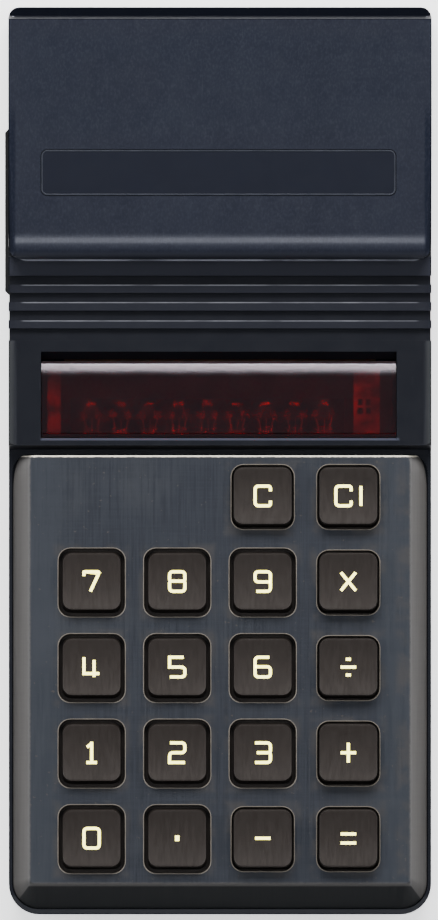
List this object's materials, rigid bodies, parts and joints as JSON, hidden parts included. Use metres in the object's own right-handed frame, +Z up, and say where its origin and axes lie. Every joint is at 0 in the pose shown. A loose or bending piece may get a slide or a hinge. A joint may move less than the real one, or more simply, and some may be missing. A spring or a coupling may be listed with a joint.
{
  "type": "pocket calculator",
  "caption": "Handheld LED calculator with a raised battery end, ribbed band, red display window, keypad plate of square keys, side power switch and sliding battery door.",
  "frame": {"origin": "centre of the footprint, on the surface that the four rubber feet stand on", "axes": "+Z up out of the keys, +Y from the front edge towards the display and the raised rear end, +X to the user's right"},
  "size_m": [0.0698, 0.1486, 0.0262],
  "materials": {
    "case_plastic": "satin navy-black moulded plastic with a fine grain",
    "plate_paint": "blue-grey painted sheet, rubbed bright along its edges",
    "key_plastic": "warm dark brown moulded plastic, satin, with cream moulded legends",
    "red_window": "deep red transparent plastic, polished",
    "lens_plastic": "clear moulded plastic seen through red",
    "badge_foil": "blank dark navy plate with a thin light edge",
    "black_plastic": "black moulded plastic, satin",
    "chip_black": "black epoxy package",
    "mat_rubber": "grey silicone rubber",
    "board_green": "green lacquered circuit board",
    "board_brown": "brown phenolic circuit board",
    "brass_pins": "plain brass",
    "steel": "nickel-plated steel",
    "ferrite": "grey-black sintered ferrite",
    "can_blue": "blue sleeve on an aluminium can",
    "resistor_body": "tan lacquered body",
    "cell_jacket": "plain red jacket on a steel can",
    "feet_rubber": "black rubber"
  },
  "bodies": {
    "case": {"upper_case": "case_plastic", "lower_case": "case_plastic", "key_plate": "plate_paint", "display_window": "red_window", "display_lens": "lens_plastic", "name_badge": "badge_foil", "key_frame": "black_plastic", "contact_mat": "mat_rubber", "keyboard_board": "board_green", "logic_board": "board_brown", "display_board": "board_green", "calculator_chip": "chip_black", "digit_driver_chip": "chip_black", "keyboard_connector": "brass_pins", "display_connector": "brass_pins", "converter_coil": "ferrite", "filter_capacitor": "can_blue", "input_capacitor": "can_blue", "power_transistor": "chip_black", "resistor_1": "resistor_body", "resistor_2": "resistor_body", "switch_body": "steel", "power_jack": "black_plastic", "battery_cell_1": "cell_jacket", "battery_cell_2": "cell_jacket", "battery_contact_plus": "steel", "battery_contact_minus": "steel", "battery_contact_link": "steel", "case_screw_1": "steel", "case_screw_2": "steel", "case_screw_3": "steel", "case_screw_4": "steel", "rubber_foot_1": "feet_rubber", "rubber_foot_2": "feet_rubber", "rubber_foot_3": "feet_rubber", "rubber_foot_4": "feet_rubber"},
    "key_clear_body": {"key_clear": "key_plastic"},
    "key_clear_entry_body": {"key_clear_entry": "key_plastic"},
    "key_7_body": {"key_7": "key_plastic"},
    "key_8_body": {"key_8": "key_plastic"},
    "key_9_body": {"key_9": "key_plastic"},
    "key_times_body": {"key_times": "key_plastic"},
    "key_4_body": {"key_4": "key_plastic"},
    "key_5_body": {"key_5": "key_plastic"},
    "key_6_body": {"key_6": "key_plastic"},
    "key_divide_body": {"key_divide": "key_plastic"},
    "key_1_body": {"key_1": "key_plastic"},
    "key_2_body": {"key_2": "key_plastic"},
    "key_3_body": {"key_3": "key_plastic"},
    "key_plus_body": {"key_plus": "key_plastic"},
    "key_0_body": {"key_0": "key_plastic"},
    "key_point_body": {"key_point": "key_plastic"},
    "key_minus_body": {"key_minus": "key_plastic"},
    "key_equals_body": {"key_equals": "key_plastic"},
    "power_switch": {"switch_knob": "black_plastic"},
    "battery_door": {"battery_cover": "case_plastic"}
  },
  "joints": [
    {"name": "key_clear_press", "type": "slide", "parent": "case", "child": "key_clear_body", "axis": [0, 0, -1], "range_m": [0, 0.0015], "stiffness_N_per_m": 350, "springref_m": -0.0004, "deforming": ["contact_mat"]},
    {"name": "key_clear_entry_press", "type": "slide", "parent": "case", "child": "key_clear_entry_body", "axis": [0, 0, -1], "range_m": [0, 0.0015], "stiffness_N_per_m": 350, "springref_m": -0.0004, "deforming": ["contact_mat"]},
    {"name": "key_7_press", "type": "slide", "parent": "case", "child": "key_7_body", "axis": [0, 0, -1], "range_m": [0, 0.0015], "stiffness_N_per_m": 350, "springref_m": -0.0004, "deforming": ["contact_mat"]},
    {"name": "key_8_press", "type": "slide", "parent": "case", "child": "key_8_body", "axis": [0, 0, -1], "range_m": [0, 0.0015], "stiffness_N_per_m": 350, "springref_m": -0.0004, "deforming": ["contact_mat"]},
    {"name": "key_9_press", "type": "slide", "parent": "case", "child": "key_9_body", "axis": [0, 0, -1], "range_m": [0, 0.0015], "stiffness_N_per_m": 350, "springref_m": -0.0004, "deforming": ["contact_mat"]},
    {"name": "key_times_press", "type": "slide", "parent": "case", "child": "key_times_body", "axis": [0, 0, -1], "range_m": [0, 0.0015], "stiffness_N_per_m": 350, "springref_m": -0.0004, "deforming": ["contact_mat"]},
    {"name": "key_4_press", "type": "slide", "parent": "case", "child": "key_4_body", "axis": [0, 0, -1], "range_m": [0, 0.0015], "stiffness_N_per_m": 350, "springref_m": -0.0004, "deforming": ["contact_mat"]},
    {"name": "key_5_press", "type": "slide", "parent": "case", "child": "key_5_body", "axis": [0, 0, -1], "range_m": [0, 0.0015], "stiffness_N_per_m": 350, "springref_m": -0.0004, "deforming": ["contact_mat"]},
    {"name": "key_6_press", "type": "slide", "parent": "case", "child": "key_6_body", "axis": [0, 0, -1], "range_m": [0, 0.0015], "stiffness_N_per_m": 350, "springref_m": -0.0004, "deforming": ["contact_mat"]},
    {"name": "key_divide_press", "type": "slide", "parent": "case", "child": "key_divide_body", "axis": [0, 0, -1], "range_m": [0, 0.0015], "stiffness_N_per_m": 350, "springref_m": -0.0004, "deforming": ["contact_mat"]},
    {"name": "key_1_press", "type": "slide", "parent": "case", "child": "key_1_body", "axis": [0, 0, -1], "range_m": [0, 0.0015], "stiffness_N_per_m": 350, "springref_m": -0.0004, "deforming": ["contact_mat"]},
    {"name": "key_2_press", "type": "slide", "parent": "case", "child": "key_2_body", "axis": [0, 0, -1], "range_m": [0, 0.0015], "stiffness_N_per_m": 350, "springref_m": -0.0004, "deforming": ["contact_mat"]},
    {"name": "key_3_press", "type": "slide", "parent": "case", "child": "key_3_body", "axis": [0, 0, -1], "range_m": [0, 0.0015], "stiffness_N_per_m": 350, "springref_m": -0.0004, "deforming": ["contact_mat"]},
    {"name": "key_plus_press", "type": "slide", "parent": "case", "child": "key_plus_body", "axis": [0, 0, -1], "range_m": [0, 0.0015], "stiffness_N_per_m": 350, "springref_m": -0.0004, "deforming": ["contact_mat"]},
    {"name": "key_0_press", "type": "slide", "parent": "case", "child": "key_0_body", "axis": [0, 0, -1], "range_m": [0, 0.0015], "stiffness_N_per_m": 350, "springref_m": -0.0004, "deforming": ["contact_mat"]},
    {"name": "key_point_press", "type": "slide", "parent": "case", "child": "key_point_body", "axis": [0, 0, -1], "range_m": [0, 0.0015], "stiffness_N_per_m": 350, "springref_m": -0.0004, "deforming": ["contact_mat"]},
    {"name": "key_minus_press", "type": "slide", "parent": "case", "child": "key_minus_body", "axis": [0, 0, -1], "range_m": [0, 0.0015], "stiffness_N_per_m": 350, "springref_m": -0.0004, "deforming": ["contact_mat"]},
    {"name": "key_equals_press", "type": "slide", "parent": "case", "child": "key_equals_body", "axis": [0, 0, -1], "range_m": [0, 0.0015], "stiffness_N_per_m": 350, "springref_m": -0.0004, "deforming": ["contact_mat"]},
    {"name": "power_switch_slide", "type": "slide", "parent": "case", "child": "power_switch", "axis": [0, 1, 0], "range_m": [0, 0.005]},
    {"name": "battery_door_slide", "type": "slide", "parent": "case", "child": "battery_door", "axis": [0, 1, 0], "range_m": [0, 0.042]}
  ]
}
